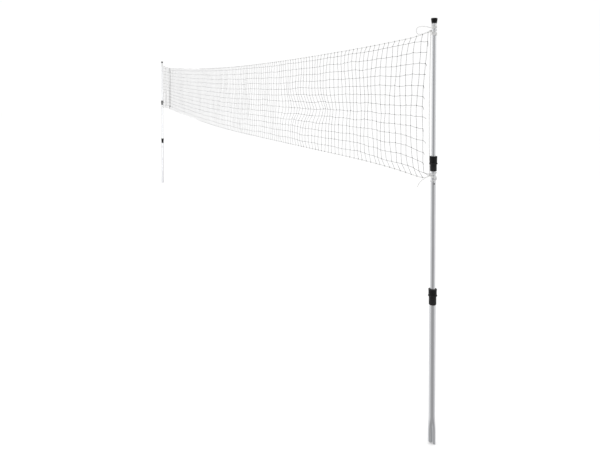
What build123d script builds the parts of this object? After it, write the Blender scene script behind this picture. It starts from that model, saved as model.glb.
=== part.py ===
from build123d import *
import math
import os

# A volleyball net hung between two telescopic poles. Millimetres, +Z up.
# The origin lies on the ground line, midway between the poles, at the height of the spike tips.
# The near pole stands at +X and the far pole at -X. The far pole is the near one turned half round.

# ---- driving dimensions ----
pole_spacing = 9510.0  # between the two pole axes
pole_height = 2490.0  # spike tip to the top of the cap

# tubes: the top tube sets the size, and each stage outside it adds a gap and a wall
top_od = 24.0
top_wall = 1.5
upper_gap = 1.5  # radial, between the top tube and the middle tube's bore
mid_wall = 1.5
lower_gap = 2.0  # radial, between the middle tube and the lower tube's bore
lower_wall = 2.0

# heights of the two locks
lower_lock_bottom = 824.0
lower_body_height = 50.0
lower_nut_height = 42.0
upper_lock_bottom = 1605.0
upper_body_height = 40.0
upper_nut_height = 47.0

# lock shells
body_wall = 4.2  # lock body outside the tube that it sits on, upper lock
lower_body_wall = 2.7  # the same, lower lock
body_chamfer = 2.5
neck_step = 1.6  # neck inside the body's outside
tube_setback = 6.0  # from the body's shoulder down to the tube's end inside it
nut_wall = 4.0  # nut outside the neck that it turns on
nut_lid = 6.0  # thickness of the nut's top wall
nut_dish = 2.5  # the shallow dish in the lid, round the inner tube
nut_edge = 2.0  # width of the lid's flat edge
nut_waist = 0.6  # how far the grip draws in above the rim
nut_lip = 0.8  # how far the top edge stands out
nut_lip_height = 8.0
nut_chamfer = 1.5
rim_flare = 2.3  # how far the nut's lower rim stands out
rim_heights = (2.0, 5.0, 9.0)  # end of its chamfer, end of the rim, start of the grip
flute_count = 12
flute_radius = 3.0
flute_depth = 0.8

# collets
collet_height = 16.0
collet_slit = 2.0
collet_bevel = 1.0
collet_bevel_height = 3.0

# stop rings, their screws and the bushes
stop_drop = 72.0  # from the bottom of a lock to its stop screw
ring_height = 16.0
bush_height = 30.0
bush_flange = 2.0
screw_diameter = 3.5
screw_head = 8.0
screw_head_height = 2.4
slot_depth = 0.8
slot_width = 1.0
upper_screw_turn = -14.0  # degrees from the outward side
lower_screw_turn = 166.0

# cap
cap_wall = 6.5  # outside the top tube
cap_height = 30.0
cap_taper = 3.2
cap_lid = 6.0
cap_edge = 8.0  # height of the straight band at its top
cap_chamfer = 2.5

# crimped ground spike
crimp_length = 167.0
crimp_formed = 72.0  # height below which the crimp has its full shape
crimp_spread = 0.2  # how much wider than the tube the two lobes are
crimp_depth = 0.7  # depth of the dent, as a share of the radius
crimp_half_angle = 34.0  # degrees
crimp_turn = -33.0
crimp_sections = (0.0, 0.15, 0.3, 0.43, 0.58, 0.72, 0.86, 1.0)  # shares of the crimp's length
section_points = 28
cut_slope = 20.0
cut_turn = 55.0
cut_reach = 1.15  # where the slanted cut starts, in radii from the axis

# ropes and net
rope_diameter = 5.0
side_diameter = 4.0
knot_radius = 6.5
knot_offset = 3.0  # from the outside of the rope wraps to the knot's centre
top_knot_drop = 72.0  # from the top of the pole
bottom_knot_drop = 23.0  # from the bottom of the upper lock
top_wraps = [(35.0, 1), (60.0, 3), (100.0, 4)]  # drop of the lowest wrap, and how many
bottom_wraps = [(11.0, 2), (36.0, 3), (52.0, 2)]
net_thickness = 1.0
net_gap = 12.0  # from the centre of a border cord to the edge of the mesh
net_edge = 70.0  # from a pole axis to a corner of the mesh
net_hollow = 40.0  # how far the side edge draws in at half height
net_marks = (0.035, 0.105, 0.242, 0.42)  # ends of the flat panels, as shares of the spacing
panel_gap = 0.6  # between two panels

# fits
seat = 0.05  # radial, a piece fixed on another
run = 0.1  # radial, a piece that slides or turns
face_gap = 0.5  # between two end faces that don't touch
overrun = 5.0  # how far a cutting tool goes past what it cuts
wrap_gap = 0.15  # between a rope wrap and its tube

# ---- values that follow ----
half_spacing = pole_spacing / 2
top_r = top_od / 2
top_bore = top_r - top_wall
mid_bore = top_r + upper_gap
mid_r = mid_bore + mid_wall
lower_bore = mid_r + lower_gap
lower_r = lower_bore + lower_wall

lower_shoulder = lower_lock_bottom + lower_body_height
lower_nut_top = lower_shoulder + lower_nut_height
upper_shoulder = upper_lock_bottom + upper_body_height
upper_nut_top = upper_shoulder + upper_nut_height

lower_tube_top = lower_shoulder - tube_setback
mid_tube_top = upper_shoulder - tube_setback
top_tube_top = pole_height - cap_lid - face_gap
lower_stop_z = lower_lock_bottom - stop_drop
upper_stop_z = upper_lock_bottom - stop_drop
mid_bottom = lower_stop_z - ring_height / 2 - face_gap - bush_height
top_bottom = upper_stop_z - ring_height / 2 - face_gap - bush_height

top_knot_z = pole_height - top_knot_drop
bottom_knot_z = upper_lock_bottom - bottom_knot_drop
wrap_pitch = rope_diameter - 0.3

# Routes are lists of (distance from the near pole axis, sideways, height).
head_route = [
    (28.0, 0, 2418), (52, 0, 2414), (96, 0, 2406), (168, 0, 2397), (300, 0, 2386),
    (560, 0, 2373), (1000, 0, 2354), (1700, 0, 2330), (2700, 0, 2303), (3800, 0, 2285),
    (4900, 0, 2280), (6000, 0, 2287), (7050, 0, 2304), (8000, 0, 2323), (8620, 0, 2337),
    (8950, 0, 2357), (9210, 0, 2379), (9350, 0, 2394), (9425, 0, 2405), (9463, 0, 2413),
    (9482, 0, 2418),
]
foot_route = [
    (31.0, 0, 1580), (45, 0, 1569), (72, 0, 1556), (126, 0, 1548), (235, 0, 1552),
    (450, 0, 1560), (860, 0, 1562), (1500, 0, 1549), (2400, 0, 1531), (3400, 0, 1512.5),
    (4500, 0, 1495), (5600, 0, 1497), (6600, 0, 1511), (7500, 0, 1531), (8150, 0, 1552),
    (8600, 0, 1567), (8900, 0, 1573), (9120, 0, 1571), (9280, 0, 1563), (9385, 0, 1558),
    (9438, 0, 1563), (9465, 0, 1571), (9479, 0, 1580),
]
side_route = [
    (40, 0, 2408), (37, 0, 2398), (35, 0, 2379), (36, 0, 2340), (39, 0, 2262),
    (43, 0, 2115), (45, 0, 1960), (44, 0, 1810), (41, 0, 1695), (38, 0, 1632),
    (37, 0, 1600), (39, 0, 1586), (42, 0, 1578.5),
]
top_tail_route = [
    (17.5, -7, 2433), (34, -8, 2437.5), (62, -9, 2445), (98, -10, 2449.5), (134, -10, 2450.5),
    (158.7, -9.5, 2448), (171, -9, 2436), (171, -9, 2419), (158.7, -8.5, 2408),
    (136, -8, 2405.5), (104, -8, 2406), (70, -8, 2410), (44, -8, 2416), (30, -7.5, 2420),
]
bottom_tail_route = [
    (31, -8, 1577), (48, -10, 1566), (78, -11, 1549), (108, -11, 1532), (134, -11, 1512),
    (148, -11, 1488),
]


# ---- helpers ----
def tube(outer, inner, low, high):
    """A round tube about Z."""
    height = high - low
    solid = Pos(0, 0, low) * extrude(Circle(outer), height)
    return solid - Pos(0, 0, low - overrun) * extrude(Circle(inner), height + 2 * overrun)


def turned(points):
    """A solid of revolution about Z from (radius, height) points."""
    outline = Polyline([(r, 0, z) for r, z in points], close=True)
    return revolve(make_face(outline), Axis.Z, 360)


def radial_rod(radius, start, end, height, turn):
    """A round rod that points away from Z, from one distance to another."""
    place = Rot(0, 0, turn) * Pos(start, 0, height) * Rot(0, 90, 0)
    return place * extrude(Circle(radius), end - start)


def cord(route, diameter, name, far=False):
    """A tube along a route, as straight runs joined by the largest tangent arcs that fit."""
    points = [Vector(half_spacing - s, y, z) for s, y, z in route]
    if far:
        points = [Vector(-p.X, -p.Y, p.Z) for p in points]
    radii = []
    for before, here, after in zip(points, points[1:], points[2:]):
        turn = math.radians((here - before).get_angle(after - here))
        shorter = min((here - before).length, (after - here).length)
        radii.append(0.45 * shorter / math.tan(turn / 2))
    path = FilletPolyline(*points, radius=radii)
    start = Plane(origin=path @ 0, z_dir=path % 0)
    solid = sweep(start * Circle(diameter / 2), path=path)
    expected = math.pi * diameter**2 / 4 * path.length
    share = solid.volume / expected
    print(f"{name}: length {path.length:.1f}, smallest radius {min(radii):.1f}, volume {share:.4f}")
    return solid


# ---- pieces of one pole, about the Z axis, with the net towards -X ----
def tube_section(radius, formed, height):
    """The lower tube's outline at one height: a circle that a dent folds into two lobes."""
    points = []
    for i in range(section_points):
        angle = 2 * math.pi * i / section_points
        off = math.degrees(math.atan2(math.sin(angle), math.cos(angle)))
        dent = crimp_depth * math.exp(-((off / crimp_half_angle) ** 2))
        spread = crimp_spread * math.sin(angle) ** 2
        r = radius * (1 + formed * (spread - dent))
        points.append((r * math.cos(angle), r * math.sin(angle), height))
    return Face(Wire([Spline(*points, periodic=True)]))


def crimped_rod(radius):
    """The solid inside one outline of the lower tube: round above, crimped at its foot."""
    sections = []
    for share in crimp_sections:
        height = share * crimp_length
        rise = max(0.0, (height - crimp_formed) / (crimp_length - crimp_formed))
        formed = 0.5 + 0.5 * math.cos(math.pi * rise)
        sections.append(tube_section(radius, formed, height))
    straight = extrude(sections[-1], lower_tube_top - crimp_length, dir=(0, 0, 1))
    return loft(sections) + straight


def lower_tube():
    whole = Rot(0, 0, crimp_turn) * (crimped_rod(lower_r) - crimped_rod(lower_bore))
    size = 8 * lower_r
    cutter = Rot(0, 0, cut_turn) * Pos(cut_reach * lower_r, 0, 0) * Rot(0, cut_slope, 0)
    cutter = cutter * Pos(0, 0, -size / 2) * Box(2 * size, size, size)
    hole = radial_rod(screw_diameter / 2, 0, lower_r + overrun, lower_stop_z, lower_screw_turn)
    return whole - cutter - hole


def mid_tube():
    whole = tube(mid_r, mid_bore, mid_bottom, mid_tube_top)
    hole = radial_rod(screw_diameter / 2, 0, mid_r + overrun, upper_stop_z, upper_screw_turn)
    return whole - hole


def top_tube():
    return tube(top_r, top_bore, top_bottom, top_tube_top)


def lock_sizes(tube_r, wall, inner_r):
    """Radii that one lock's pieces share."""
    body_r = tube_r + seat + wall
    neck_r = body_r - neck_step
    collet_r = (neck_r + inner_r) / 2
    return body_r, neck_r, collet_r


def lock_body(tube_r, wall, inner_r, low, shoulder, tube_top, nut_top):
    """A sleeve on the outer tube's end, with a neck that the nut turns on."""
    body_r, neck_r, collet_r = lock_sizes(tube_r, wall, inner_r)
    neck_top = nut_top - nut_lid - face_gap
    seat_low = neck_top - collet_height
    return turned([
        (tube_r + seat, low), (body_r - body_chamfer, low), (body_r, low + body_chamfer),
        (body_r, shoulder), (neck_r, shoulder), (neck_r, neck_top), (collet_r + run, neck_top),
        (collet_r + run, seat_low), (inner_r + run, seat_low), (inner_r + run, tube_top),
        (tube_r + seat, tube_top),
    ])


def lock_nut(tube_r, wall, inner_r, shoulder, nut_top):
    """The nut: gripped outside, flared at its lower rim, open round the inner tube."""
    bore = lock_sizes(tube_r, wall, inner_r)[1] + run
    mouth = inner_r + 4 * run
    nut_r = bore + nut_wall
    rim_r = nut_r + rim_flare
    low = shoulder + face_gap
    lid = nut_top - nut_lid
    dish = nut_top - nut_dish
    chamfer_top, rim_top, grip_low = [low + rise for rise in rim_heights]
    outline = turned([
        (bore, low), (rim_r - nut_chamfer, low), (rim_r, chamfer_top), (rim_r, rim_top),
        (nut_r - nut_waist, grip_low), (nut_r, nut_top - nut_lip_height),
        (nut_r + nut_lip, nut_top - nut_chamfer), (nut_r, nut_top), (nut_r - nut_edge, nut_top),
        (mouth + nut_dish, dish), (mouth, dish), (mouth, lid), (bore, lid),
    ])
    flute_middle = nut_r - flute_depth + flute_radius
    for i in range(flute_count):
        turn = 360 * (i + 0.5) / flute_count
        place = Rot(0, 0, turn) * Pos(flute_middle, 0, grip_low + nut_edge)
        outline -= place * extrude(Circle(flute_radius), nut_top - grip_low)
    return outline


def collet(tube_r, wall, inner_r, nut_top):
    """A split ring that the nut squeezes on to the inner tube."""
    collet_r = lock_sizes(tube_r, wall, inner_r)[2]
    high = nut_top - nut_lid - 2 * face_gap
    low = high - collet_height + 2 * face_gap
    face_r = collet_r - collet_bevel
    ring = turned([
        (inner_r + run, low), (face_r, low), (collet_r, low + collet_bevel_height),
        (collet_r, high - collet_bevel_height), (face_r, high), (inner_r + run, high),
    ])
    slit = Pos(collet_r, 0, (low + high) / 2) * Box(2 * collet_r, collet_slit, 2 * collet_height)
    return ring - slit


def stop_ring(bore, inner_r, middle, turn):
    """A ring fixed in the outer tube: the inner tube slides in it, and its bush stops at it."""
    ring = tube(bore - seat, inner_r + run, middle - ring_height / 2, middle + ring_height / 2)
    return ring - radial_rod(screw_diameter / 2, 0, bore + overrun, middle, turn)


def stop_screw(tube_r, inner_r, middle, turn):
    """A pan-head screw through the tube's wall into the stop ring."""
    top = tube_r + screw_head_height
    shank = radial_rod(screw_diameter / 2 - seat, inner_r + 2 * run, tube_r + 2 * seat, middle, turn)
    head = radial_rod(screw_head / 2, tube_r + seat, top, middle, turn)
    edge = head.edges().filter_by(GeomType.CIRCLE).group_by(SortBy.DISTANCE)[-1]
    slot = Rot(0, 0, turn) * Pos(top, 0, middle) * Box(2 * slot_depth, slot_width, screw_head)
    return fillet(edge, screw_head_height - 2 * slot_depth) + shank - slot


def bush(inner_r, inner_bore, outer_bore, bottom):
    """A sleeve on the inner tube's lower end, with a flange under it."""
    outer = outer_bore - run
    sleeve = tube(outer, inner_r + seat, bottom, bottom + bush_height)
    return sleeve + tube(outer, inner_bore, bottom - bush_flange, bottom)


def cap():
    """A plug with a wide head, over the top tube's end."""
    low = pole_height - cap_height
    r = top_r + cap_wall
    return turned([
        (top_r + seat, low), (r - cap_taper, low), (r, pole_height - cap_edge),
        (r, pole_height - cap_chamfer), (r - cap_chamfer, pole_height), (0, pole_height),
        (0, pole_height - cap_lid), (top_r + seat, pole_height - cap_lid),
    ])


def tie(tube_r, base, wraps, knot_z):
    """Rope wrapped round the tube, with its knot on the side of the net."""
    major = tube_r + wrap_gap + rope_diameter / 2
    knot_x = -(tube_r + wrap_gap + rope_diameter + knot_offset)
    whole = Pos(knot_x, 0, knot_z) * Sphere(knot_radius)
    for drop, count in wraps:
        for i in range(count):
            whole += Pos(0, 0, base - drop + i * wrap_pitch) * Torus(major, rope_diameter / 2)
    return whole


def pole():
    """Every piece of one pole, by name."""
    lower_lock = (lower_r, lower_body_wall, mid_r)
    upper_lock = (mid_r, body_wall, top_r)
    return {
        "lower_tube": lower_tube(),
        "lower_lock_body": lock_body(
            *lower_lock, lower_lock_bottom, lower_shoulder, lower_tube_top, lower_nut_top
        ),
        "lower_lock_nut": lock_nut(*lower_lock, lower_shoulder, lower_nut_top),
        "lower_collet": collet(*lower_lock, lower_nut_top),
        "lower_stop_ring": stop_ring(lower_bore, mid_r, lower_stop_z, lower_screw_turn),
        "lower_stop_screw": stop_screw(lower_r, mid_r, lower_stop_z, lower_screw_turn),
        "mid_tube": mid_tube(),
        "mid_bush": bush(mid_r, mid_bore, lower_bore, mid_bottom),
        "upper_lock_body": lock_body(
            *upper_lock, upper_lock_bottom, upper_shoulder, mid_tube_top, upper_nut_top
        ),
        "upper_lock_nut": lock_nut(*upper_lock, upper_shoulder, upper_nut_top),
        "upper_collet": collet(*upper_lock, upper_nut_top),
        "upper_stop_ring": stop_ring(mid_bore, top_r, upper_stop_z, upper_screw_turn),
        "upper_stop_screw": stop_screw(mid_r, top_r, upper_stop_z, upper_screw_turn),
        "top_tube": top_tube(),
        "top_bush": bush(top_r, top_bore, mid_bore, top_bottom),
        "cap": cap(),
        "top_tie": tie(top_r, pole_height, top_wraps, top_knot_z),
        "bottom_tie": tie(mid_r, upper_lock_bottom, bottom_wraps, bottom_knot_z),
    }


# ---- the net ----
def drop_on(route, share):
    """How far a route lies below its start, at a share of the way along."""
    distance = route[0][0] + share * (route[-1][0] - route[0][0])
    for (a, _, low), (b, _, high) in zip(route, route[1:]):
        if a <= distance <= b:
            return route[0][2] - low - (high - low) * (distance - a) / (b - a)
    raise ValueError("not on the route")


def panel(corners):
    """A flat panel of the mesh from (distance, height) corners."""
    points = [(half_spacing - s, net_thickness / 2, z) for s, z in corners]
    return extrude(make_face(Polyline(points, close=True)), net_thickness, dir=(0, -1, 0))


def net_mesh():
    """The mesh as flat panels side by side, between the head cord and the foot cord."""
    inner = (net_edge + net_hollow) / pole_spacing
    marks = [inner, *net_marks, *[1 - share for share in reversed(net_marks)], 1 - inner]
    shares = [net_edge / pole_spacing, *marks, 1 - net_edge / pole_spacing]
    distances = [share * pole_spacing for share in shares]
    tops = [top_knot_z - drop_on(head_route, share) - net_gap for share in shares]
    bottoms = [bottom_knot_z - drop_on(foot_route, share) + net_gap for share in shares]
    panels = []
    last = len(shares) - 1
    for i in range(1, last - 1):
        left = distances[i] + panel_gap / 2
        right = distances[i + 1] - panel_gap / 2
        panels.append(panel([
            (left, bottoms[i]), (right, bottoms[i + 1]), (right, tops[i + 1]), (left, tops[i]),
        ]))
    for edge, beside, side in ((0, 1, -1), (last, last - 1, 1)):
        inner = distances[beside] + side * panel_gap / 2
        middle = (tops[beside] + bottoms[beside]) / 2
        for heights, away in ((tops, 1), (bottoms, -1)):
            panels.append(panel([
                (inner, middle + away * panel_gap / 2), (inner, heights[beside]),
                (distances[edge], heights[edge]),
            ]))
    return Compound(children=panels)


# ---- build and write every node ----
def build():
    nodes = {}
    pieces = pole()
    near_place = Pos(half_spacing, 0, 0)
    far_place = Pos(-half_spacing, 0, 0) * Rot(0, 0, 180)
    for name, piece in pieces.items():
        nodes[f"near_{name}"] = near_place * piece
        nodes[f"far_{name}"] = far_place * piece
    nodes["net_mesh"] = net_mesh()
    nodes["head_cord"] = cord(head_route, rope_diameter, "head_cord")
    nodes["foot_cord"] = cord(foot_route, rope_diameter, "foot_cord")
    nodes["near_side_cord"] = cord(side_route, side_diameter, "near_side_cord")
    nodes["far_side_cord"] = cord(side_route, side_diameter, "far_side_cord", far=True)
    nodes["near_top_tail"] = cord(top_tail_route, rope_diameter, "near_top_tail")
    nodes["near_bottom_tail"] = cord(bottom_tail_route, rope_diameter, "near_bottom_tail")
    return nodes


os.makedirs("parts", exist_ok=True)
for node, shape in build().items():
    export_step(shape, f"parts/{node}.step")
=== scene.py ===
import math

import bpy
import numpy as np
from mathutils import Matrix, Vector


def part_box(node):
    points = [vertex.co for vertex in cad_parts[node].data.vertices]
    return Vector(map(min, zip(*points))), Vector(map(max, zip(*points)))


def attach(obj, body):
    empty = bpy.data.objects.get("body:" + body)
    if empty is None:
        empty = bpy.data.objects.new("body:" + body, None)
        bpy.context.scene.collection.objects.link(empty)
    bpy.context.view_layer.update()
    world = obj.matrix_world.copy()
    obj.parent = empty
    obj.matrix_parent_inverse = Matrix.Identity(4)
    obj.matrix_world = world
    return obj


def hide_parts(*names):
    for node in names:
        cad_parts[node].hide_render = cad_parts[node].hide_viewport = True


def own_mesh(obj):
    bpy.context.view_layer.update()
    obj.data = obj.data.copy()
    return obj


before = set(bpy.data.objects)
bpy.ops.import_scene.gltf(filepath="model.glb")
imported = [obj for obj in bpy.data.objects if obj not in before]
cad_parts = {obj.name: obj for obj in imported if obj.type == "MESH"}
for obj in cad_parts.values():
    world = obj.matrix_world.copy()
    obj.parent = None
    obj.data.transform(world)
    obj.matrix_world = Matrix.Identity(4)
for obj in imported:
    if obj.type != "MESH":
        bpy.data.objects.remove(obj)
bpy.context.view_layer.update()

# A volleyball net on two telescopic poles. Metres, +Z up, the near pole at +X, the far pole at -X.
# The poles are the CAD nodes, with finished materials. The cords, the rope ties and the knotted
# net are made here, in place of the plain CAD solids.


# ---- places, from the frame ----
def middle(node):
    """The middle of a CAD node's box."""
    low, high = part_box(node)
    return (low + high) / 2


def radius_of(node):
    """The radius of an upright round CAD node."""
    low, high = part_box(node)
    return (high.y - low.y) / 2


near_axis = middle("near_top_tube").x
far_axis = middle("far_top_tube").x
span = near_axis - far_axis
pole_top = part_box("near_cap")[1].z
lock_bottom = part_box("near_upper_lock_body")[0].z
top_radius = radius_of("near_top_tube")
mid_radius = radius_of("near_mid_tube")

# ---- camera ----
camera_offset = (2.917, -2.025, 2.141)  # from the near pole's foot
camera_heading = math.radians(157.81)  # from +X towards +Y
camera_pitch = math.radians(-1.6)
camera_lens = 36.0
camera_sensor = 36.0
camera_shift = -0.216

camera = bpy.data.objects.new("camera", bpy.data.cameras.new("camera"))
bpy.context.scene.collection.objects.link(camera)
camera.data.lens = camera_lens
camera.data.sensor_width = camera_sensor
camera.data.shift_y = camera_shift
camera.location = Vector((near_axis, 0, 0)) + Vector(camera_offset)
forward = Vector((
    math.cos(camera_pitch) * math.cos(camera_heading),
    math.cos(camera_pitch) * math.sin(camera_heading),
    math.sin(camera_pitch),
))
camera.rotation_euler = forward.to_track_quat("-Z", "Y").to_euler()
bpy.context.scene.camera = camera

# ---- cords: diameters, and routes as (distance from the near pole axis, sideways, height) ----
rope_diameter = 0.005
side_diameter = 0.004
rope_lay = 0.026  # length in which a rope's strands turn once
side_lay = 0.02
ring_step = 0.0025  # between two rings of a rope's mesh
rope_sides = 15
strand_count = 3
strand_share = 0.464  # a strand's radius, as a share of the rope's: the three touch one another
groove_share = 0.76  # the bottom of the groove between two strands, as a share of the rope's radius

head_route = [
    (0.028, 0, 2.418), (0.052, 0, 2.414), (0.096, 0, 2.406), (0.168, 0, 2.397), (0.3, 0, 2.386),
    (0.56, 0, 2.373), (1.0, 0, 2.354), (1.7, 0, 2.33), (2.7, 0, 2.303), (3.8, 0, 2.285),
    (4.9, 0, 2.28), (6.0, 0, 2.287), (7.05, 0, 2.304), (8.0, 0, 2.323), (8.62, 0, 2.337),
    (8.95, 0, 2.357), (9.21, 0, 2.379), (9.35, 0, 2.394), (9.425, 0, 2.405), (9.463, 0, 2.413),
    (9.482, 0, 2.418),
]
foot_route = [
    (0.031, 0, 1.58), (0.045, 0, 1.569), (0.072, 0, 1.556), (0.126, 0, 1.548), (0.235, 0, 1.552),
    (0.45, 0, 1.56), (0.86, 0, 1.562), (1.5, 0, 1.549), (2.4, 0, 1.531), (3.4, 0, 1.5125),
    (4.5, 0, 1.495), (5.6, 0, 1.497), (6.6, 0, 1.511), (7.5, 0, 1.531), (8.15, 0, 1.552),
    (8.6, 0, 1.567), (8.9, 0, 1.573), (9.12, 0, 1.571), (9.28, 0, 1.563), (9.385, 0, 1.558),
    (9.438, 0, 1.563), (9.465, 0, 1.571), (9.479, 0, 1.58),
]
side_route = [
    (0.04, 0, 2.408), (0.037, 0, 2.398), (0.035, 0, 2.379), (0.036, 0, 2.34), (0.039, 0, 2.262),
    (0.043, 0, 2.115), (0.045, 0, 1.96), (0.044, 0, 1.81), (0.041, 0, 1.695), (0.038, 0, 1.632),
    (0.037, 0, 1.6), (0.039, 0, 1.586), (0.042, 0, 1.5785),
]
top_tail_route = [
    (0.0175, -0.007, 2.433), (0.034, -0.008, 2.4375), (0.062, -0.009, 2.445),
    (0.098, -0.01, 2.4495), (0.134, -0.01, 2.4505), (0.1587, -0.0095, 2.448),
    (0.171, -0.009, 2.436), (0.171, -0.009, 2.419), (0.1587, -0.0085, 2.408),
    (0.136, -0.008, 2.4055), (0.104, -0.008, 2.406), (0.07, -0.008, 2.41),
    (0.044, -0.008, 2.416), (0.03, -0.0075, 2.42),
]
bottom_tail_route = [
    (0.031, -0.008, 1.577), (0.048, -0.01, 1.566), (0.078, -0.011, 1.549),
    (0.108, -0.011, 1.532), (0.134, -0.011, 1.512), (0.148, -0.011, 1.488),
]

# The height of the net's lower corners, where the bottom ties' knots sit.
net_anchor = (0, 0, 1.582)


# ---- mesh making ----
sideways = (0, 1, 0)


class Shape:
    """The points and faces of one piece, gathered from many tubes."""

    def __init__(self):
        self.points = []
        self.faces = []
        self.count = 0

    def tube(self, line, reference, radius, closed=False):
        """A tube round a line. reference never runs along the line, and radius has a row for each
        point of the line and a column for each side."""
        line = np.asarray(line, float)
        if closed:
            tangent = np.roll(line, -1, axis=0) - np.roll(line, 1, axis=0)
        else:
            tangent = np.gradient(line, axis=0)
        tangent = unit(tangent)
        across = unit(np.cross(tangent, reference))
        up = np.cross(across, tangent)
        rings, sides = radius.shape
        angle = 2 * np.pi * np.arange(sides) / sides
        spoke = (
            np.cos(angle)[None, :, None] * across[:, None, :]
            + np.sin(angle)[None, :, None] * up[:, None, :]
        )
        self.points.append((line[:, None, :] + radius[:, :, None] * spoke).reshape(-1, 3))
        first = np.arange(rings if closed else rings - 1)
        here = first[:, None] * sides + np.arange(sides)[None, :]
        beside = first[:, None] * sides + (np.arange(sides)[None, :] + 1) % sides
        ahead = (first[:, None] + 1) % rings * sides
        quads = np.stack([
            here, ahead + np.arange(sides)[None, :],
            ahead + (np.arange(sides)[None, :] + 1) % sides, beside,
        ], axis=-1)
        self.faces += (quads.reshape(-1, 4) + self.count).tolist()
        if not closed:
            last = self.count + (rings - 1) * sides
            self.faces.append(list(range(self.count, self.count + sides)))
            self.faces.append(list(range(last + sides - 1, last - 1, -1)))
        self.count += rings * sides

    def piece(self, name, finish, slot, body):
        """Makes the object, smooth shaded, riding on a body."""
        mesh = bpy.data.meshes.new(name)
        mesh.from_pydata(np.concatenate(self.points).tolist(), [], self.faces)
        mesh.shade_smooth()
        mesh.materials.append(finish)
        piece = bpy.data.objects.new(name, mesh)
        bpy.context.scene.collection.objects.link(piece)
        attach(piece, body)
        return piece


def unit(vectors):
    """The same directions with length 1."""
    return vectors / np.linalg.norm(vectors, axis=-1, keepdims=True)


def distances(line):
    """How far along a line each of its points is."""
    steps = np.linalg.norm(np.diff(line, axis=0), axis=1)
    return np.concatenate([[0], np.cumsum(steps)])


def evenly(line, step):
    """The same line with its points a step apart."""
    along = distances(line)
    at = np.linspace(0, along[-1], int(along[-1] / step) + 2)
    return np.stack([np.interp(at, along, line[:, k]) for k in range(3)], axis=1)


def place(route, far=False):
    """A route's points in the frame. The far side is the near one turned half round."""
    side = -1 if far else 1
    return [Vector((side * (near_axis - s), side * y, z)) for s, y, z in route]


def smooth_line(points):
    """The smooth line of a cord that has these control points."""
    data = bpy.data.curves.new("route", "CURVE")
    data.dimensions = "3D"
    data.resolution_u = 80
    spline = data.splines.new("NURBS")
    spline.points.add(len(points) - 1)
    for target, point in zip(spline.points, points):
        target.co = (*point, 1)
    spline.order_u = 3
    spline.use_endpoint_u = True
    holder = bpy.data.objects.new("route", data)
    mesh = bpy.data.meshes.new_from_object(holder)
    line = np.array([v.co for v in mesh.vertices], float)
    bpy.data.meshes.remove(mesh)
    bpy.data.curves.remove(data)
    return line


def ring_line(radius, wave, steps):
    """A ring round the X axis, which leaves its plane a little to both sides."""
    turn = 2 * np.pi * np.arange(steps) / steps
    return np.stack([wave * np.sin(turn), radius * np.cos(turn), radius * np.sin(turn)], axis=1)


def overhand(size, depth, steps):
    """A closed overhand knot: its two flat coordinates, and the third in which it crosses itself."""
    turn = 2 * np.pi * np.arange(steps) / steps
    across = size * (np.sin(turn) + 2 * np.sin(2 * turn))
    up = size * (np.cos(turn) - 2 * np.cos(2 * turn))
    out = -size * depth * np.sin(3 * turn)
    return across, up, out


def rope_radius(line, diameter, lay):
    """The radius round a laid rope, whose strands lie side by side and turn as it goes along."""
    outer = diameter / 2
    strand = strand_share * outer
    centre = outer - strand
    angle = 2 * np.pi * np.arange(rope_sides) / rope_sides
    turn = 2 * np.pi * distances(line) / lay
    share = strand_count * (angle[None, :] - turn[:, None]) / (2 * np.pi)
    off = ((share + 0.5) % 1 - 0.5) * 2 * np.pi / strand_count
    reach = centre * np.cos(off)
    reach += np.sqrt(np.maximum(strand**2 - (centre * np.sin(off)) ** 2, 0))
    return np.maximum(reach, groove_share * outer)


# ---- materials ----
def material(name, colour, roughness, metallic=0.0):
    """A new material, its node tree and its shader."""
    made = bpy.data.materials.new(name)
    made.use_nodes = True
    tree = made.node_tree
    shader = tree.nodes["Principled BSDF"]
    shader.inputs["Base Color"].default_value = (*colour, 1)
    shader.inputs["Roughness"].default_value = roughness
    shader.inputs["Metallic"].default_value = metallic
    return made, tree, shader


def noise(tree, scale, stretch=(1, 1, 1), detail=3.0):
    """Noise over the object's own coordinates, drawn out along some axes."""
    coordinates = tree.nodes.new("ShaderNodeTexCoord")
    mapping = tree.nodes.new("ShaderNodeMapping")
    mapping.inputs["Scale"].default_value = stretch
    texture = tree.nodes.new("ShaderNodeTexNoise")
    texture.inputs["Scale"].default_value = scale
    texture.inputs["Detail"].default_value = detail
    tree.links.new(coordinates.outputs["Object"], mapping.inputs["Vector"])
    tree.links.new(mapping.outputs["Vector"], texture.inputs["Vector"])
    return texture.outputs["Fac"]


def ramp(tree, value, low, high, first, second):
    """Colours between two, as a value goes from low to high."""
    node = tree.nodes.new("ShaderNodeValToRGB")
    node.color_ramp.elements[0].position = low
    node.color_ramp.elements[0].color = (*first, 1)
    node.color_ramp.elements[1].position = high
    node.color_ramp.elements[1].color = (*second, 1)
    tree.links.new(value, node.inputs["Fac"])
    return node.outputs["Color"]


def blend(tree, kind, first, second):
    """Two colours added or multiplied."""
    node = tree.nodes.new("ShaderNodeMix")
    node.data_type = "RGBA"
    node.blend_type = kind
    node.inputs["Factor"].default_value = 1.0
    tree.links.new(first, node.inputs["A"])
    tree.links.new(second, node.inputs["B"])
    return node.outputs["Result"]


def spread(tree, value, low, high):
    """A value from 0 to 1 spread between two numbers."""
    node = tree.nodes.new("ShaderNodeMapRange")
    node.inputs["To Min"].default_value = low
    node.inputs["To Max"].default_value = high
    tree.links.new(value, node.inputs["Value"])
    return node.outputs["Result"]


def bump(tree, shader, height, strength, distance):
    """Makes a surface look uneven, by a height from 0 to 1."""
    node = tree.nodes.new("ShaderNodeBump")
    node.inputs["Strength"].default_value = strength
    node.inputs["Distance"].default_value = distance
    tree.links.new(height, node.inputs["Height"])
    tree.links.new(node.outputs["Normal"], shader.inputs["Normal"])


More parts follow.
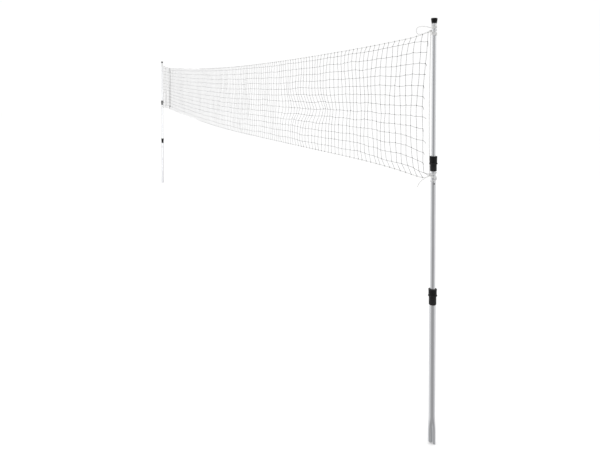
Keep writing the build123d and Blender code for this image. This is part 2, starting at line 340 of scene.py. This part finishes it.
def drawn_aluminium():
    """Tube drawn through a die: fine streaks along Z and faint smudges."""
    made, tree, shader = material("drawn_aluminium", (0.86, 0.87, 0.89), roughness=0.3, metallic=1.0)
    streaks = noise(tree, scale=600.0, stretch=(1, 1, 0.012))
    smudges = noise(tree, scale=14.0, stretch=(1, 1, 0.3), detail=5.0)
    colour = ramp(tree, streaks, 0.3, 0.7, first=(0.82, 0.83, 0.85), second=(0.9, 0.91, 0.93))
    tree.links.new(colour, shader.inputs["Base Color"])
    tree.links.new(spread(tree, smudges, low=0.22, high=0.4), shader.inputs["Roughness"])
    bump(tree, shader, streaks, strength=0.12, distance=0.0002)
    return made


def moulded_plastic(name, first, second, roughness, grain, gloss):
    """Moulded plastic: a fine grain, and edges that handling has rubbed lighter."""
    made, tree, shader = material(name, first, roughness)
    shader.inputs["Specular IOR Level"].default_value = gloss
    mottle = noise(tree, scale=60.0, detail=4.0)
    body = ramp(tree, mottle, 0.35, 0.65, first, second)
    edge = tree.nodes.new("ShaderNodeNewGeometry")
    worn = ramp(
        tree, edge.outputs["Pointiness"], 0.52, 0.6, first=(0, 0, 0), second=(0.018, 0.018, 0.019)
    )
    tree.links.new(blend(tree, "ADD", body, worn), shader.inputs["Base Color"])
    rough = spread(tree, mottle, low=roughness - 0.07, high=roughness + 0.1)
    tree.links.new(rough, shader.inputs["Roughness"])
    bump(tree, shader, noise(tree, grain), strength=0.25, distance=0.0002)
    return made


def blackened_steel():
    """A blackened screw, worn bright in places."""
    made, tree, shader = material(
        "blackened_steel", (0.01, 0.01, 0.011), roughness=0.5, metallic=0.3
    )
    shader.inputs["Specular IOR Level"].default_value = 0.2
    wear = noise(tree, scale=900.0, detail=5.0)
    colour = ramp(tree, wear, 0.5, 0.9, first=(0.006, 0.006, 0.0065), second=(0.04, 0.04, 0.042))
    tree.links.new(colour, shader.inputs["Base Color"])
    bump(tree, shader, wear, strength=0.2, distance=0.0001)
    return made


def fibre(name, dark, light, sheen, grain):
    """Twisted yarn: fine fibres that catch the light unevenly."""
    made, tree, shader = material(name, light, roughness=0.8)
    fibres = noise(tree, grain, detail=4.0)
    patches = noise(tree, scale=9.0)
    fine = ramp(tree, fibres, 0.3, 0.7, dark, light)
    soil = ramp(tree, patches, 0.3, 0.8, first=(1, 1, 1), second=(0.96, 0.958, 0.952))
    tree.links.new(blend(tree, "MULTIPLY", fine, soil), shader.inputs["Base Color"])
    shader.inputs["Sheen Weight"].default_value = sheen
    bump(tree, shader, fibres, strength=0.5, distance=0.0004)
    return made


finishes = {
    "pole_metal": drawn_aluminium(),
    "black_plastic": moulded_plastic(
        "black_plastic", first=(0.003, 0.003, 0.0033), second=(0.006, 0.006, 0.0065),
        roughness=0.42, grain=1400.0, gloss=0.22,
    ),
    "guide_plastic": moulded_plastic(
        "guide_plastic", first=(0.56, 0.56, 0.54), second=(0.64, 0.64, 0.62),
        roughness=0.5, grain=1400.0, gloss=0.5,
    ),
    "black_screw": blackened_steel(),
    "white_rope": fibre(
        "white_rope", dark=(0.7, 0.7, 0.695), light=(0.87, 0.87, 0.865), sheen=0.25, grain=1500.0
    ),
    "net_twine": fibre(
        "net_twine", dark=(0.02, 0.02, 0.021), light=(0.06, 0.06, 0.063), sheen=0.2, grain=2500.0
    ),
}
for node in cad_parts.values():
    for held in node.material_slots:
        held.material = finishes[held.material.name.split(".")[0]]


# ---- the cords ----
def cord_piece(name, points, diameter, lay, body, node):
    """A laid rope along a route, in place of its CAD solid. Returns the piece and its line."""
    line = smooth_line(points)
    fine = evenly(line, ring_step)
    shape = Shape()
    shape.tube(fine, sideways, rope_radius(fine, diameter, lay))
    piece = shape.piece(name, finishes["white_rope"], "white_rope", body)
    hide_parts(node)
    return piece, line


def gather(piece):
    """Gives a piece a mesh of its own."""
    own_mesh(piece)


head_cord, head_line = cord_piece(
    "head_rope", place(head_route), rope_diameter, rope_lay, "near_mid", "head_cord"
)
foot_cord, foot_line = cord_piece(
    "foot_rope", place(foot_route), rope_diameter, rope_lay, "near_mid", "foot_cord"
)
near_side, near_side_line = cord_piece(
    "near_side_rope", place(side_route), side_diameter, side_lay, "near_mid", "near_side_cord"
)
far_side, far_side_line = cord_piece(
    "far_side_rope", place(side_route, far=True), side_diameter, side_lay, "near_mid",
    "far_side_cord",
)
top_tail, top_tail_line = cord_piece(
    "near_top_loop", place(top_tail_route), rope_diameter, rope_lay, "near_top", "near_top_tail"
)
bottom_tail, bottom_tail_line = cord_piece(
    "near_bottom_end", place(bottom_tail_route), rope_diameter, rope_lay, "near_mid",
    "near_bottom_tail",
)
for piece in (head_cord, foot_cord, near_side, far_side):
    gather(piece)

# Each side cord is hitched round the head cord and the foot cord.
hitch_at = 0.041  # from the pole axis
hitch_wave = 0.002  # how far the ring leaves its plane
hitch_steps = 24
hitch_ring = ring_line(rope_diameter / 2 + side_diameter / 2, hitch_wave, hitch_steps)
hitch_radius = rope_radius(hitch_ring, side_diameter, distances(hitch_ring)[-1])
hitches = Shape()
for line in (head_line, foot_line):
    for x in (near_axis - hitch_at, far_axis + hitch_at):
        centre = line[np.argmin(abs(line[:, 0] - x))]
        hitches.tube(hitch_ring + centre, unit(hitch_ring), hitch_radius, closed=True)
gather(hitches.piece("side_hitches", finishes["white_rope"], "white_rope", "near_mid"))


# ---- rope ties ----
wrap_gap = 0.00015
wrap_pitch = 0.005
knot_size = 0.0024  # a knot is about six of these across, plus the rope
knot_depth = 1.1  # half its thickness, in knot sizes
knot_steps = 72
knot_standoff = 0.0068  # from the outside of the wraps to the middle of the knot
top_groups = [(0.1, 4, 0.0), (0.06, 3, 0.0), (0.035, 1, 0.0)]  # lowest drop, turns, tilt
bottom_groups = [(0.056, 1, 0.007), (0.037, 2, -0.006), (0.015, 1, 0.005)]
tilt_bearing = 1.0  # where round the pole a group is raised by its tilt, in radians
group_cut = 0.25  # a group falls short of its full turns by this share of a turn
crossing = 0.75  # and the rope takes this share of a turn to reach the next group
turn_steps = 40


def wrap_line(axis, side, radius, base, groups):
    """One rope that winds round a pole in groups of turns, and crosses from each to the next."""
    angles = []
    heights = []
    angle = 0.0
    for drop, turns, tilt in groups:
        for i in range(round(turn_steps * (turns - group_cut))):
            height = base - drop + wrap_pitch * i / turn_steps
            angles.append(angle)
            heights.append(height + tilt * math.cos(angle - tilt_bearing))
            angle += 2 * math.pi / turn_steps
        angle += 2 * math.pi * crossing
    full = np.array(angles)
    fine = np.arange(full[0], full[-1], 2 * math.pi / turn_steps)
    z = np.interp(fine, full, heights)
    x = axis + side * radius * np.cos(fine)
    y = side * radius * np.sin(fine)
    return np.stack([x, y, z], axis=1)


def tie(name, axis, side, tube_radius, base, groups, knot_z, body, node):
    """Rope wrapped round a pole, with its knot, flat across X, on the side of the net."""
    radius = tube_radius + wrap_gap + rope_diameter / 2
    wraps = evenly(wrap_line(axis, side, radius, base, groups), ring_step / 2)
    outward = wraps - np.array([axis, 0, 0])
    outward[:, 2] = 0
    shape = Shape()
    shape.tube(wraps, unit(outward), rope_radius(wraps, rope_diameter, rope_lay))
    knot_x = axis - side * (radius + rope_diameter / 2 + knot_standoff)
    y, z, x = overhand(knot_size, knot_depth, knot_steps)
    knot = np.stack([x, y, z], axis=1) + np.array([knot_x, 0, knot_z])
    core = unit(knot - np.array([knot_x, 0, knot_z]))
    lay = distances(knot)[-1] / round(distances(knot)[-1] / rope_lay)
    shape.tube(knot, core, rope_radius(knot, rope_diameter, lay), closed=True)
    piece = shape.piece(name, finishes["white_rope"], "white_rope", body)
    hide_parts(node)


top_knot_z = head_route[0][2]
bottom_knot_z = net_anchor[2]
for pole, axis, side in (("near", near_axis, 1), ("far", far_axis, -1)):
    tie(
        f"{pole}_top_lashing", axis, side, top_radius, pole_top, top_groups, top_knot_z,
        f"{pole}_top", f"{pole}_top_tie",
    )
    tie(
        f"{pole}_bottom_lashing", axis, side, mid_radius, lock_bottom, bottom_groups,
        bottom_knot_z, f"{pole}_mid", f"{pole}_bottom_tie",
    )


# ---- the net ----
twine_radius = 0.00095
twine_sides = 5
loop_sides = 4  # of the twine in a knot or a loop
row_count = 13
first_drop = 0.031  # from the head cord to the first row
last_drop = 0.05  # from the last row to the foot cord
mesh_width = 0.0635
near_edge = 0.057  # from the pole axis to the first column, at the cords

# A few columns are gathered over the whole height, as in a curtain. Places along the net are
# measured from the near pole's axis.
bunch_start = 8.69
bunch_columns = 6
bunch_step = 0.009
bunch_fold = 0.012

# Some more are gathered in the lower part only, which sets in between two shares of the height.
small_bunch = 9.095
small_reach = 0.19
small_fold = 0.006
small_share = 0.86
small_from = 0.55
small_to = 0.75

# The side edges draw in, and their rows sag. The columns beside them sag less.
waist = 0.06
waist_reach = 1.6
edge_sag = 0.011
beside_edge = 0.3  # the share of that sag beside the edge
level_edge = 0.17  # between here and the side edge the rows no longer rise with the head cord

# The last half meshes lean along the foot cord.
foot_slip = 0.017
slip_reach = 3.0

# At one place the meshes have slid towards the near pole, most at one share of the height.
slack_middle = 1.9
slack_reach = 0.6
slack_slide = 0.135
slack_centre = 0.57
slack_height = 0.12

# The lower rows hang down towards the bottom ties.
corner_sag = 0.03
corner_reach = 0.13
corner_from = 0.5
corner_to = 0.85

# The knots drift at random, in a smooth field and each by itself: along the net, up, and out of it.
along_drift = 0.005
along_jitter = 0.0018
up_drift = 0.004
up_jitter = 0.0014
out_drift = 0.007
out_jitter = 0.001
cord_jitter = 0.004  # of a column's ends, along the cords
hold_rate = 14  # how fast the drift sets in with the share of the height, away from the cords
calm_share = 0.65  # how much of the drift is gone beyond calm_to
calm_from = 2.5
calm_to = 6.5

# Between two knots a twine hangs or bows a little.
row_sag = (0.0006, 0.0032)  # least and most
row_parts = 4
column_bow = 0.0011
column_parts = 3
rng = np.random.default_rng(11)


def column_starts():
    """How far from the near pole each column is, at the cords, and which one starts the bunch."""
    before = np.arange(near_edge, bunch_start, mesh_width)
    bunch = before[-1] + bunch_step * np.arange(1, bunch_columns)
    left = span - near_edge - bunch[-1]
    count = round(left / mesh_width)
    after = bunch[-1] + left * np.arange(1, count + 1) / count
    return np.concatenate([before, bunch, after]), len(before) - 1


def cord_height(line, s):
    """The height of a cord at a distance from the near pole."""
    x = near_axis - s
    order = np.argsort(line[:, 0])
    return np.interp(x, line[order, 0], line[order, 2])


def drift(s, z, size, count=16, shortest=0.25, longest=1.5):
    """A smooth random field over the net."""
    total = 0
    for _ in range(count):
        wave = 2 * np.pi / rng.uniform(shortest, longest)
        way = rng.uniform(0, np.pi)
        start = rng.uniform(0, 2 * np.pi)
        total = total + np.sin(wave * (s * np.cos(way) + z * np.sin(way)) + start)
    return size * total / math.sqrt(count / 2)


def smooth_step(value, low, high):
    """From 0 to 1 as a value goes from low to high, without a corner at either end."""
    t = np.clip((value - low) / (high - low), 0, 1)
    return t * t * (3 - 2 * t)


def hill(value, centre, reach, power=2):
    """A bell that is 1 at its centre. A higher power makes its top flatter."""
    return np.exp(-(((value - centre) / reach) ** power))


def held(share):
    """0 on the cords, and 1 from a little way off them."""
    return np.minimum(1, np.minimum(share, 1 - share) * hold_rate)


def level_net(starts):
    """The net with straight columns: each knot's place along it and height, and the share of the
    net's height that lies above it."""
    head = cord_height(head_line, starts)
    foot = cord_height(foot_line, starts)
    pitch = (head - foot - first_drop - last_drop) / (row_count - 1)
    drops = [np.zeros(len(starts))]
    drops += [first_drop + pitch * i for i in range(row_count)]
    drops.append(head - foot)
    drops = np.array(drops)
    level = cord_height(head_line, np.clip(starts, level_edge, span - level_edge))
    z = level - drops * (level - foot) / (head - foot)
    return np.tile(starts, (row_count + 2, 1)), z, drops / (head - foot)


def slide(s, share):
    """How far the knots have slid along the net, at the side edges and at the slack place."""
    bow = np.sqrt(np.sin(np.pi * np.clip(share, 0, 1)))
    pull = np.exp(-s / waist_reach) - np.exp(-(span - s) / waist_reach)
    slack = slack_slide * hill(s, slack_middle, slack_reach) * hill(share, slack_centre, slack_height)
    return waist * pull * bow - slack


def wander(s, z, share):
    """How far the knots have drifted at random: along the net, up, and out of it."""
    free = held(share) * (1 - calm_share * smooth_step(s, calm_from, calm_to))
    along = free * drift(s, z, along_drift) + free * rng.normal(0, along_jitter, s.shape)
    up = free * drift(s, z, up_drift) + free * rng.normal(0, up_jitter, s.shape)
    out = free * drift(s, z, out_drift) + free * rng.normal(0, out_jitter, s.shape)
    return along, up, out


def gather_columns(s, share, bunch_first):
    """How far the gathered columns move along the net, and fold out of it to either side."""
    columns = s.shape[1]
    alternate = np.where(np.arange(columns) % 2 == 0, 1.0, -1.0)
    fold = np.zeros(columns)
    fold[bunch_first : bunch_first + bunch_columns] = 1
    low = hill(s, small_bunch, small_reach, 4) * smooth_step(share, small_from, small_to)
    low *= held(share)
    along = -small_share * low * (s - small_bunch)
    out = bunch_fold * fold * alternate * held(share) + small_fold * low * alternate
    return along, out


def hang(s, share):
    """How far the rows hang down at the side edges and towards the bottom ties."""
    down = np.zeros(s.shape)
    belly = edge_sag * np.sqrt(np.clip(np.sin(np.pi * share), 0, 1))
    down[:, [0, -1]] = belly[:, [0, -1]]
    down[:, [1, -2]] = beside_edge * belly[:, [1, -2]]
    corner = hill(s, 0, corner_reach) + hill(s, span, corner_reach)
    return down + corner_sag * corner * smooth_step(share, corner_from, corner_to)


def net_nodes():
    """The place of each knot, and of each column's ends on the cords: rows, columns, x y z."""
    starts, bunch_first = column_starts()
    s, z, share = level_net(starts)
    along, up, out = wander(s, z, share)
    lean = foot_slip * (np.exp(-starts / slip_reach) - np.exp(-(span - starts) / slip_reach))
    along[0] += rng.normal(0, cord_jitter, len(starts))
    along[-1] += rng.normal(0, cord_jitter, len(starts)) - lean
    gathered, folded = gather_columns(s, share, bunch_first)
    x = near_axis - (s + slide(s, share) + along + gathered)
    y = out + folded
    z = z + up - hang(s, share)
    y[[0, -1]] = 0
    z[0] = cord_height(head_line, near_axis - x[0])
    z[-1] = cord_height(foot_line, near_axis - x[-1])
    return np.stack([x, y, z], axis=-1)


def string(nodes, parts, sag, bow):
    """A twine through a row of knots, which hangs and bows a little between each two."""
    t = np.arange(parts) / parts
    hump = (4 * t * (1 - t))[None, :]
    line = nodes[:-1, None, :] * (1 - t)[None, :, None] + nodes[1:, None, :] * t[None, :, None]
    line[:, :, 2] -= sag[:, None] * hump
    line[:, :, 0] += bow[:, None] * hump
    return np.concatenate([line.reshape(-1, 3), nodes[-1:]])


def twine(shape, line, radius=twine_radius):
    """A twine along a line, with open ends."""
    shape.tube(line, sideways, np.full((len(line), twine_sides), radius))


def closed_twine(shape, line, centre):
    """A twine that closes on itself round a centre."""
    radius = np.full((len(line), loop_sides), twine_radius)
    shape.tube(line + centre, unit(line), radius, closed=True)


def net_piece(name, shape):
    """One piece of the net, in place of its flat CAD panels."""
    piece = shape.piece(name, finishes["net_twine"], "net_twine", "near_mid")
    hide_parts("net_mesh")
    gather(piece)


nodes = net_nodes()
columns = nodes.shape[1]

# The ends of the lowest row run on to the bottom ties' knots.
knot_reach = 0.03  # from the pole axis
near_knot = np.array([near_axis - knot_reach, 0, bottom_knot_z])
far_knot = np.array([far_axis + knot_reach, 0, bottom_knot_z])
rows = Shape()
for i in range(1, row_count + 1):
    row = nodes[i]
    if i == row_count:
        row = np.concatenate([[near_knot], row, [far_knot]])
    sag = rng.uniform(*row_sag, len(row) - 1)
    twine(rows, string(row, row_parts, sag, np.zeros(len(row) - 1)))
net_piece("net_rows", rows)

# Each column ends in a loop round the head cord and one round the foot cord.
loop_wave = 0.0008  # how far the loop leaves its plane
loop_steps = 8
loop_ring = ring_line(rope_diameter / 2 + twine_radius, loop_wave, loop_steps)
uprights = Shape()
for j in range(columns):
    column = nodes[:, j]
    bow = rng.normal(0, column_bow, len(column) - 1)
    twine(uprights, string(column, column_parts, np.zeros(len(column) - 1), bow))
for end in (0, -1):
    for centre in nodes[end]:
        closed_twine(uprights, loop_ring, centre)
net_piece("net_uprights", uprights)

# A knot, turned at random in the net's plane, at each crossing.
twine_knot_size = 0.00085
twine_knot_depth = 1.2
twine_knot_steps = 12
x, z, y = overhand(twine_knot_size, twine_knot_depth, twine_knot_steps)
knots = Shape()
for i in range(1, row_count + 1):
    for j in range(columns):
        turn = rng.uniform(0, 2 * np.pi)
        turned = [x * np.cos(turn) - z * np.sin(turn), y, x * np.sin(turn) + z * np.cos(turn)]
        closed_twine(knots, np.stack(turned, axis=1), nodes[i, j])
net_piece("net_knots", knots)

# Cut ends of twine that stand out from both side edges: row, length, and slope below level.
stub_ends = [
    (1, 0.03, 85), (3, 0.02, 50), (4, 0.014, 5), (5, 0.018, 70), (6, 0.022, 45), (7, 0.026, 50),
    (8, 0.04, 15), (9, 0.02, 80), (10, 0.034, 25), (11, 0.018, 40), (12, 0.015, 75),
]
stub_out = 0.003  # how far the middle of a cut end stands out of the net's plane
stub_arch = 0.12  # and how far it rises, as a share of the length
stub_points = 6
stub_radius = 1.15 * twine_radius
stubs = Shape()
for row_number, length, slope in stub_ends:
    for edge, side in ((0, 1), (columns - 1, -1)):
        root = nodes[row_number, edge]
        slope_angle = math.radians(slope)
        end = root + length * np.array([side * math.cos(slope_angle), 0, -math.sin(slope_angle)])
        control = (root + end) / 2 + np.array([0, stub_out, stub_arch * length])
        t = np.linspace(0, 1, stub_points)[:, None]
        twine(stubs, root * (1 - t) ** 2 + 2 * control * t * (1 - t) + end * t**2, stub_radius)
net_piece("net_cut_ends", stubs)

# ---- floor, light and background ----
floor_size = 60.0
floor_drop = 0.0005  # below the poles' ends
floor_glow = 0.36


def pale_floor():
    """A nearly white floor, which glows a little so that it joins the background."""
    made, tree, shader = material("pale_floor", (0.86, 0.86, 0.86), roughness=0.9)
    patches = noise(tree, scale=0.6)
    tone = ramp(tree, patches, 0.3, 0.7, first=(0.85, 0.85, 0.85), second=(0.87, 0.87, 0.87))
    tree.links.new(tone, shader.inputs["Base Color"])
    shader.inputs["Emission Color"].default_value = (1, 1, 1, 1)
    shader.inputs["Emission Strength"].default_value = floor_glow
    return made


bpy.ops.mesh.primitive_plane_add(size=floor_size, location=(0, 0, -floor_drop))
floor = bpy.context.active_object
floor.name = "floor"
floor.data.materials.append(pale_floor())
floor.visible_glossy = False

# The room is bright all round, with one darker side that the tubes reflect as a soft dark band.
dark_bearing = math.radians(-44)
dark_side = (math.cos(dark_bearing), math.sin(dark_bearing), 0)
dark_level = 0.43
dark_lean = 1.15  # how far it leans, so that the band moves as a tube goes down
dark_core = math.radians(2)  # it is fully dark this near its middle
dark_edge = math.radians(68)  # and fades out this far from it
room_level = 1.0
backdrop_level = 1.015  # what the camera sees behind the object


def studio():
    """The world: the room for reflections and light, and a plain backdrop for the camera."""
    world = bpy.data.worlds.new("studio")
    world.use_nodes = True
    tree = world.node_tree
    tree.nodes.clear()
    add = tree.nodes.new
    direction = add("ShaderNodeTexCoord")
    parts = add("ShaderNodeSeparateXYZ")
    leaning = add("ShaderNodeMath")
    leaning.operation = "MULTIPLY_ADD"
    leaning.inputs[1].default_value = dark_lean
    level_only = add("ShaderNodeCombineXYZ")
    bearing = add("ShaderNodeVectorMath")
    bearing.operation = "NORMALIZE"
    towards = add("ShaderNodeVectorMath")
    towards.operation = "DOT_PRODUCT"
    towards.inputs[1].default_value = dark_side
    level = add("ShaderNodeMapRange")
    level.interpolation_type = "SMOOTHSTEP"
    level.inputs["From Min"].default_value = math.cos(dark_edge)
    level.inputs["From Max"].default_value = math.cos(dark_core)
    level.inputs["To Min"].default_value = room_level
    level.inputs["To Max"].default_value = dark_level
    room = add("ShaderNodeBackground")
    backdrop = add("ShaderNodeBackground")
    backdrop.inputs["Color"].default_value = (1, 1, 1, 1)
    backdrop.inputs["Strength"].default_value = backdrop_level
    ray = add("ShaderNodeLightPath")
    choice = add("ShaderNodeMixShader")
    output = add("ShaderNodeOutputWorld")
    link = tree.links.new
    link(direction.outputs["Generated"], parts.inputs["Vector"])
    link(parts.outputs["Z"], leaning.inputs[0])
    link(parts.outputs["Y"], leaning.inputs[2])
    link(parts.outputs["X"], level_only.inputs["X"])
    link(leaning.outputs["Value"], level_only.inputs["Y"])
    link(level_only.outputs["Vector"], bearing.inputs[0])
    link(bearing.outputs["Vector"], towards.inputs[0])
    link(towards.outputs["Value"], level.inputs["Value"])
    link(level.outputs["Result"], room.inputs["Strength"])
    link(ray.outputs["Is Camera Ray"], choice.inputs["Fac"])
    link(room.outputs["Background"], choice.inputs[1])
    link(backdrop.outputs["Background"], choice.inputs[2])
    link(choice.outputs["Shader"], output.inputs["Surface"])
    return world


def soft_light(name, place_at, aim, size, power, seen=True):
    """A square lamp. The camera sees it only if it is seen."""
    light = bpy.data.lights.new(name, "AREA")
    light.size = size
    light.energy = power
    lamp = bpy.data.objects.new(name, light)
    bpy.context.scene.collection.objects.link(lamp)
    lamp.location = place_at
    lamp.rotation_euler = (Vector(aim) - Vector(place_at)).to_track_quat("-Z", "Y").to_euler()
    lamp.visible_camera = seen


bpy.context.scene.world = studio()
aim_height = 1.2
soft_light(
    "key", (near_axis - 1.5, -4.5, 4.5), (near_axis, 0, aim_height), size=3.0, power=45.0
)
soft_light(
    "far_panel", (far_axis + 2.6, -1.5, aim_height), (far_axis, 0, aim_height), size=3.4,
    power=62.0, seen=False,
)
bpy.context.scene.view_settings.view_transform = "Standard"
